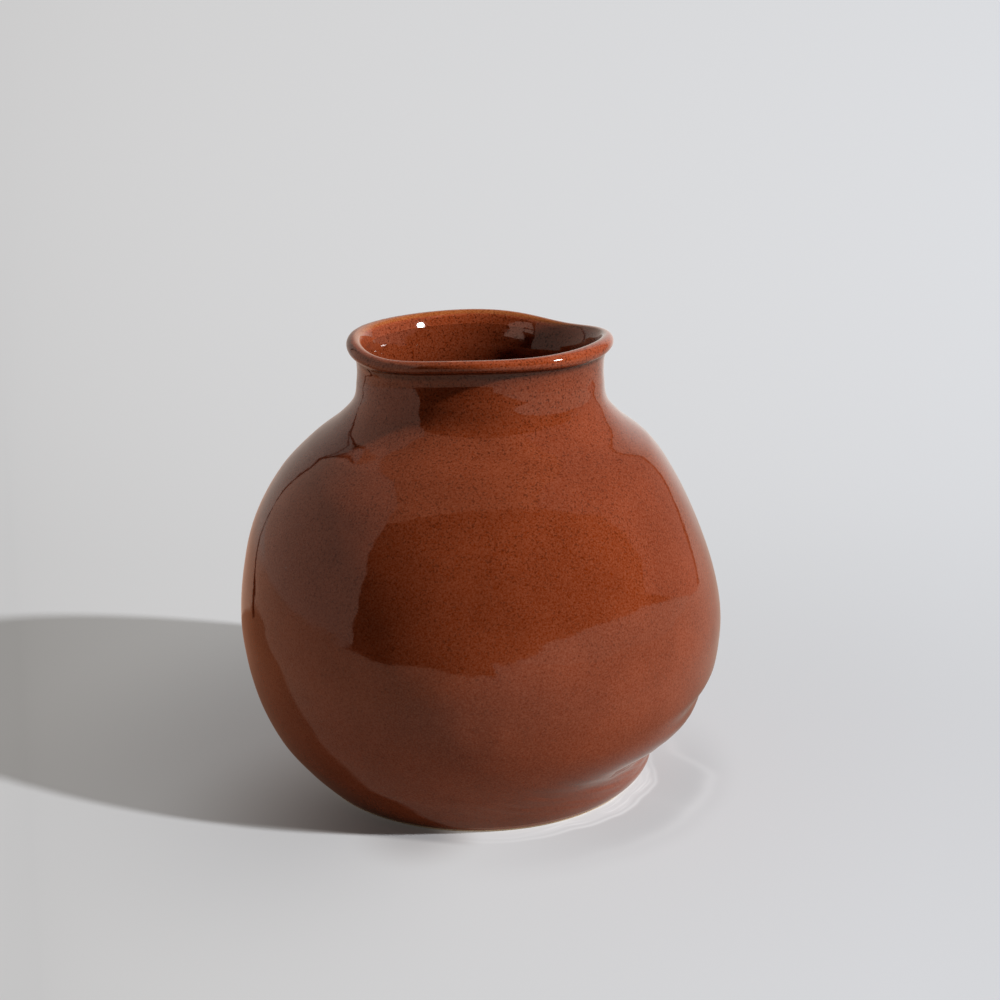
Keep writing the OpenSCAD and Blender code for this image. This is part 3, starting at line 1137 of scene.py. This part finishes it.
def sweep_mesh():
    """A floor that curves up into a backdrop."""
    line = [(-FLOOR_REACH, 0.0), (SWEEP_START, 0.0)]
    for a in between(0.0, math.pi / 2, SWEEP_ROWS)[1:]:
        line.append((SWEEP_START + SWEEP_RADIUS * math.sin(a), SWEEP_RADIUS * (1 - math.cos(a))))
    line.append((SWEEP_START + SWEEP_RADIUS, WALL_HEIGHT))
    points = [(x, y, z) for y, z in line for x in (-FLOOR_REACH, FLOOR_REACH)]
    faces = [(2 * i, 2 * i + 1, 2 * i + 3, 2 * i + 2) for i in range(len(line) - 1)]
    mesh = bpy.data.meshes.new("pale_sweep")
    mesh.from_pydata(points, [], faces)
    mesh.shade_smooth()
    return mesh


class PaperWriter(TreeWriter):
    """Writes the pale paper. The vase mirrors less of it than the camera sees, up to the paper's ends."""

    def __init__(self, material, stage):
        super().__init__(emptied(material).tree)
        self.stage = stage
        self.where = self.value("ShaderNodeNewGeometry", output="Position")
        self.x, self.y, _ = self.parts(self.where)
        self.away = self.distance_from((0.0, 0.0))
        rays = self.outputs("ShaderNodeLightPath")
        self.seen = rays["Is Camera Ray"]
        self.thrown = rays["Is Diffuse Ray"]
        self.mirrored = rays["Is Glossy Ray"]
        slant = self.x / self.largest(self.y - stage.camera_place[1], VIEW_NEAR)
        self.across = self.spread(slant, -VIEW_SIDE, VIEW_SIDE, kind="LINEAR")

    def distance_from(self, spot):
        """How far a place on the floor is from a spot."""
        x, y = self.x - spot[0], self.y - spot[1]
        return self.math("SQRT", x * x + y * y)

    def pool_of_light(self):
        """The light that the glaze throws on the paper, the shade round it and the floor close by."""
        stage = self.stage
        turn = self.math("ARCTAN2", self.y, self.x)
        wave = self.noise(self.joined(turn, 0.0, 0.0), POOL_WAVE_SIZE) - 0.5
        reach = self.away + wave * POOL_WAVE
        window = self.bell(turn, stage.pool_at, stage.pool_spread)
        side = self.bell(turn, *POOL_SIDE)
        line = self.spread(turn, *POOL_TURN, *POOL_EDGE)
        within = self.spread(reach, line, line - POOL_SOFT)
        streaks = self.noise(self.joined(turn * STREAK_TURN, reach / STREAK, 0.0), 1.0)
        streaked = WITHIN_LIGHT + self.spread(streaks, *STREAK_RANGE) * STREAK_LIGHT
        arc = self.bell(reach, self.spread(turn, *ARC_TURN, *ARC_REACH), ARC_LINE) * side
        edge = window * self.bell(reach, line, POOL_LINE)
        light = stage.pool * (edge + window * within * streaked + arc * ARC_LIGHT)
        ring = self.spread(reach, *RING_REACH) * (1.0 - within)
        shade = 1.0 - self.largest(window, side) * stage.pool_shade * ring
        return light, shade, side * self.spread(self.away, *POOL_CLOSE)

    def contact_shade(self):
        """The share of the glow that is left on the shadow's side, and the shade right at the foot."""
        stage, x, y = self.stage, self.x, self.y
        towards = x * -math.sin(stage.key_bearing) + y * math.cos(stage.key_bearing)
        side = self.spread(towards / self.largest(self.away, AXIS_CLEAR), *SHADE_SIDE)
        wide = side * self.spread(self.away, *SHADE_REACH) * stage.contact
        past_line = y + x * SHADOW_LINE[0] + SHADOW_LINE[1]
        shadow = self.spread(past_line, *SHADOW_EDGE) * self.spread(x, *SHADOW_END)
        spot = self.distance_from(CONTACT_SPOT)
        dark = shadow * self.spread(spot, stage.contact_reach, 0.0) * stage.contact_close
        lit = (1.0 - shadow) * self.spread(spot, stage.lit_reach, 0.0) * stage.contact_lit
        close = dark + lit
        return (1.0 - wide) * (1.0 - close), close

    def mirrored_glow(self, amount, pool):
        """The light that the vase mirrors: the floor by side, the backdrop by bearing, and the pool."""
        stage = self.stage
        ratio = self.x / self.largest(self.y, MIRROR_NEAR)
        behind = self.mix(self.spread(ratio, *MIRROR_LEFT), stage.back_middle, stage.back_left)
        behind = self.mix(self.spread(ratio, *MIRROR_RIGHT), behind, stage.back_right)
        floor = self.mix(self.across, stage.mirror_left, stage.mirror_right)
        paper = self.mix(self.spread(self.y, *MIRROR_BACK), floor, behind)
        return self.value("ShaderNodeVectorMath", [self.scaled(paper, amount), self.joined(pool, pool, pool)])

    def ends(self):
        """Where the paper that the vase mirrors ends, and where the wall at the right shows beyond it."""
        x, y = self.x, self.y
        distance = self.value("ShaderNodeVectorMath", [self.where], "Value", operation="LENGTH")
        front = (y < FLOOR_SIDE) * (distance > FLOOR_FRONT) * (x < y * -FLOOR_TURN)
        start = (y < PAPER_START) * FLOOR_RIGHT
        edge = self.largest(y * PAPER_SPLAY, y * PAPER_SLANT + PAPER_CORNER, start)
        off_seam = self.math("ABSOLUTE", x * SEAM_WAY[0] + y * SEAM_WAY[1] + SEAM_AWAY)
        seam = (off_seam < SEAM_HALF) * (y > SEAM_START)
        return self.largest(seam, front, x > edge), x > edge + PAPER_GAP

    def lit_paper(self, bounce, dim, shade):
        """The paper's shader, which the key light lights."""
        stage = self.stage
        level = self.spread(self.seen, 0.0, 1.0, bounce * stage.paper_bounce, stage.paper_seen, "LINEAR")
        mirrored = self.scaled(stage.paper_mirrored, dim)
        tone = self.mix(self.mirrored, self.scaled(stage.paper, level), mirrored)
        back = self.spread(self.y, *BACK_RANGE, 1.0, stage.paper_back)
        return self.value("ShaderNodeBsdfPrincipled", {
            "Base Color": self.scaled(tone, back * shade), "Roughness": PAPER_ROUGHNESS,
            "Specular IOR Level": 0.0})

    def dress(self):
        """The paper with its light and its ends."""
        stage = self.stage
        pool, shade, close = self.pool_of_light()
        contact, touch = self.contact_shade()
        left_over = shade * contact
        front = self.spread(self.distance_from(BOUNCE_SPOT), *BOUNCE_FRONT)
        bounce = self.spread(self.x, *BOUNCE_ACROSS) + front
        dim = self.spread(self.away, *MIRROR_DIM)
        dip = self.bell(self.distance_from(DIP_SPOT), 0.0, DIP_REACH) * stage.glow_dip
        eased = self.math("POWER", self.across, GLOW_EASE) * stage.glow_right
        glow = (stage.glow + eased) * left_over * (1.0 - dip)
        strength = (glow + pool) * self.seen + glow * self.thrown * stage.glow_bounce * bounce
        tint = self.mix(self.across, stage.tint_left, stage.tint_right)
        seen = self.scaled(self.mix(touch, tint, stage.contact_tint), strength)
        mirrored = self.mirrored_glow(left_over * dim, close * stage.pool_mirrored)
        light = self.value("ShaderNodeEmission", [self.mix(self.mirrored, seen, mirrored)])
        paper = self.value("ShaderNodeAddShader", [self.lit_paper(bounce, dim, shade), light])
        beyond, wall = self.ends()
        dark = self.value("ShaderNodeEmission", {"Color": rgba(stage.right_card), "Strength": wall})
        both = self.value("ShaderNodeMixShader", [self.mirrored * beyond, paper, dark])
        self.node("ShaderNodeOutputMaterial", [both])


# The panels and lamps of the stage, in metres

LEFT_AT = -1.0
LEFT_PANEL = [(-0.65, 0.0), (0.985, 0.0), (0.985, 0.62), (0.965, 0.80), (0.91, 0.98), (0.80, 1.11),
              (0.65, 1.20), (0.60, 1.60), (-0.48, 1.60), (-0.66, 1.12), (-0.65, 0.84), (-0.71, 0.57),
              (-0.71, 0.26)]
TRIM_AT = -1.01
TRIM_LINE = LEFT_PANEL[1:7]
TRIM_WIDTH = 0.05
RIGHT_AT = 1.2
RIGHT_WALL = [(-0.14, 0.27), (0.17, 0.13), (0.62, 0.0), (1.16, 0.0), (1.12, 0.30), (1.04, 0.60),
              (1.02, 1.20), (1.10, 2.40), (-1.20, 2.40), (-0.56, 1.21), (-0.17, 0.76), (-0.04, 0.58),
              (-0.03, 0.43)]
RIGHT_FENCE = [(0.62, 0.0), (0.29, 0.09), (0.0, 0.15), (-0.25, 0.21), (-0.52, 0.25), (-0.90, 0.285),
               (-1.60, 0.27), (-2.40, 0.22), (-3.40, 0.12), (-4.0, 0.06)]
CEILING = [(-2.0, -1.3, 2.4), (1.2, -1.3, 2.4), (1.2, 2.0, 2.4), (-2.0, 2.0, 2.4)]
MOUTH_WINDOW = [(-0.011, 0.000, 0.223), (-0.0185, 0.0063, 0.221), (-0.0185, 0.0063, 0.248),
                (-0.024, 0.011, 0.247), (-0.023, 0.0102, 0.272), (-0.0145, 0.003, 0.263),
                (-0.011, 0.000, 0.248)]
MOUTH_WINDOW_LIGHT = (1.35, 0.88, 0.70)
MOUTH_LAMP_SIZE = (0.20, 0.24)
MOUTH_LAMP_POWER = 11.4
MOUTH_LAMP_SPREAD = 0.12
MOUTH_LAMP_AWAY = 1.4
WHITE = (1.0, 1.0, 1.0)
BLACK = (0.0, 0.0, 0.0)
ROOM_TINT = (1.0, 0.98, 0.96)
ROOM_MIRRORED = 0.002
ROOM_SEEN = 0.65
PIECES = ("wiped_foot_ring", "glazed_floor", "glazed_lower_wall", "glazed_shoulder", "glazed_neck",
          "glazed_lip")
LAMPS = {"key": ["pale_sweep"], "body": PIECES, "left": PIECES, "foot": ["wiped_foot_ring"]}


def panel(name, corners, light, faces=None):
    """A panel of even light that shows in reflections only. Without faces, it is one flat piece."""
    mesh = bpy.data.meshes.new(name)
    mesh.from_pydata(corners, [], faces or [tuple(range(len(corners)))])
    material = bpy.data.materials.new(name)
    write = emptied(material)
    shine = write.value("ShaderNodeEmission", {"Color": rgba(light), "Strength": 1.0})
    write.node("ShaderNodeOutputMaterial", [shine])
    mesh.materials.append(material)
    made = bpy.data.objects.new(name, mesh)
    made.visible_camera = False
    made.visible_diffuse = False
    made.visible_shadow = False
    bpy.context.scene.collection.objects.link(made)


def strip(name, pairs, light):
    """A panel along a line of pairs of corners."""
    faces = [(2 * i, 2 * i + 2, 2 * i + 3, 2 * i + 1) for i in range(len(pairs) - 1)]
    panel(name, [corner for pair in pairs for corner in pair], light, faces)


def light_only(made, names):
    """Lets a lamp light some objects only."""
    lighted = bpy.data.collections.new(made.name + "_lights")
    for name in names:
        lighted.objects.link(bpy.data.objects[name])
    made.light_linking.receiver_collection = lighted


def far_lamp(stage, key, lights):
    """A far lamp that lights some objects only and does not show in reflections."""
    strength, bearing, height, softness = (
        getattr(stage, f"{key}_{part}") for part in ("strength", "bearing", "height", "softness"))
    sun = bpy.data.lights.new(key + "_light", "SUN")
    sun.energy = strength
    sun.angle = softness
    made = bpy.data.objects.new(key + "_light", sun)
    made.rotation_euler = (math.pi / 2 - height, 0.0, bearing)
    made.visible_glossy = False
    bpy.context.scene.collection.objects.link(made)
    light_only(made, lights)


def mouth_lamp(bearing, height):
    """A small lamp for the lip only, which makes the highlight inside it."""
    spot = bpy.data.lights.new("mouth_spot", "AREA")
    spot.shape = "ELLIPSE"
    spot.size, spot.size_y = MOUTH_LAMP_SIZE
    spot.energy = MOUTH_LAMP_POWER
    spot.diffuse_factor = MOUTH_LAMP_SPREAD
    made = bpy.data.objects.new("mouth_spot", spot)
    flat = MOUTH_LAMP_AWAY * math.cos(height)
    up = CAD_HIGH[2] + MOUTH_LAMP_AWAY * math.sin(height)
    made.location = (flat * math.sin(bearing), -flat * math.cos(bearing), up)
    made.rotation_euler = (math.pi / 2 - height, 0.0, bearing)
    made.visible_camera = False
    bpy.context.scene.collection.objects.link(made)
    light_only(made, ["glazed_lip"])


class VASE_OT_stage(bpy.types.Operator):
    """Sets the floor and backdrop, the panels, the lamps, the room's light and the camera"""

    bl_idname = "vase.stage"
    bl_label = "Stage"

    def execute(self, context):
        scene = context.scene
        stage = scene.vase_stage
        scene.view_settings.view_transform = "Standard"
        self.lay_paper(scene, stage)
        self.set_panels(stage)
        for key, lights in LAMPS.items():
            far_lamp(stage, key, lights)
        mouth_lamp(stage.key_bearing, stage.key_height)
        self.room_light(scene, stage)
        self.place_camera(scene, stage)
        return {"FINISHED"}

    def lay_paper(self, scene, stage):
        material = bpy.data.materials.new("Pale paper")
        PaperWriter(material, stage).dress()
        sweep = bpy.data.objects.new("pale_sweep", sweep_mesh())
        sweep.data.materials.append(material)
        scene.collection.objects.link(sweep)

    def set_panels(self, stage):
        panel("left_panel", [(LEFT_AT, y, z) for y, z in LEFT_PANEL], stage.left_card)
        trim = [((TRIM_AT, y, z), (TRIM_AT, y + TRIM_WIDTH, z + TRIM_WIDTH)) for y, z in TRIM_LINE]
        strip("left_panel_trim", trim, BLACK)
        panel("right_wall", [(RIGHT_AT, y, z) for y, z in RIGHT_WALL], stage.right_card)
        fence = [((RIGHT_AT, y, 0.0), (RIGHT_AT, y, high)) for y, high in RIGHT_FENCE]
        strip("right_fence", fence, stage.fence_card)
        panel("ceiling", CEILING, stage.ceiling_card)
        panel("mouth_window", MOUTH_WINDOW, MOUTH_WINDOW_LIGHT)

    def room_light(self, scene, stage):
        """A dim room: a little light from all sides, pale to the camera, dark in reflections."""
        scene.world = bpy.data.worlds.new("Room")
        write = emptied(scene.world)
        ray = write.outputs("ShaderNodeLightPath")
        levels = ((ROOM_TINT, stage.room), (WHITE, ROOM_MIRRORED), (WHITE, ROOM_SEEN))
        fill, dark, pale = (
            write.value("ShaderNodeBackground", [rgba(tint), strength]) for tint, strength in levels)
        mirrored = write.value("ShaderNodeMixShader", [ray["Is Glossy Ray"], fill, dark])
        seen = write.value("ShaderNodeMixShader", [ray["Is Camera Ray"], mirrored, pale])
        write.node("ShaderNodeOutputWorld", [seen])

    def place_camera(self, scene, stage):
        lens = bpy.data.cameras.new("camera")
        lens.lens = stage.camera_lens
        camera = bpy.data.objects.new("camera", lens)
        camera.location = stage.camera_place
        camera.rotation_euler = (math.pi / 2 - stage.camera_dip, 0.0, 0.0)
        scene.collection.objects.link(camera)
        scene.camera = camera


# The panel, and registering

OPERATORS = (VASE_OT_foot_ring, VASE_OT_floor, VASE_OT_lower_wall, VASE_OT_shoulder, VASE_OT_neck,
             VASE_OT_lip, VASE_OT_stage)
GROUPS = {"vase_profile": VaseProfile, "vase_mouth": VaseMouth, "vase_dents": VaseDents,
          "vase_foot": VaseFoot, "vase_finish": VaseFinish, "vase_stage": VaseStage}


class VASE_PT_members(bpy.types.Panel):
    """Lists the steps that make the vase and its settings"""

    bl_label = "Stoneware Vase"
    bl_idname = "VASE_PT_members"
    bl_space_type = "VIEW_3D"
    bl_region_type = "UI"
    bl_category = "Vase"

    def draw(self, context):
        for operator in OPERATORS:
            self.layout.operator(operator.bl_idname)
        for group in GROUPS:
            box = self.layout.box()
            box.label(text=label(group))
            settings = getattr(context.scene, group)
            for name in settings.__annotations__:
                box.prop(settings, name)


CLASSES = (*GROUPS.values(), *OPERATORS, VASE_PT_members)


def register():
    for cls in CLASSES:
        bpy.utils.register_class(cls)
    for name, group in GROUPS.items():
        setattr(bpy.types.Scene, name, bpy.props.PointerProperty(type=group))


def unregister():
    for name in GROUPS:
        delattr(bpy.types.Scene, name)
    for cls in reversed(CLASSES):
        bpy.utils.unregister_class(cls)


def main():
    """Makes the vase and its stage."""
    register()
    bpy.ops.vase.foot_ring()
    bpy.ops.vase.floor()
    bpy.ops.vase.lower_wall()
    bpy.ops.vase.shoulder()
    bpy.ops.vase.neck()
    bpy.ops.vase.lip()
    bpy.ops.vase.stage()


if __name__ == "__main__":
    main()
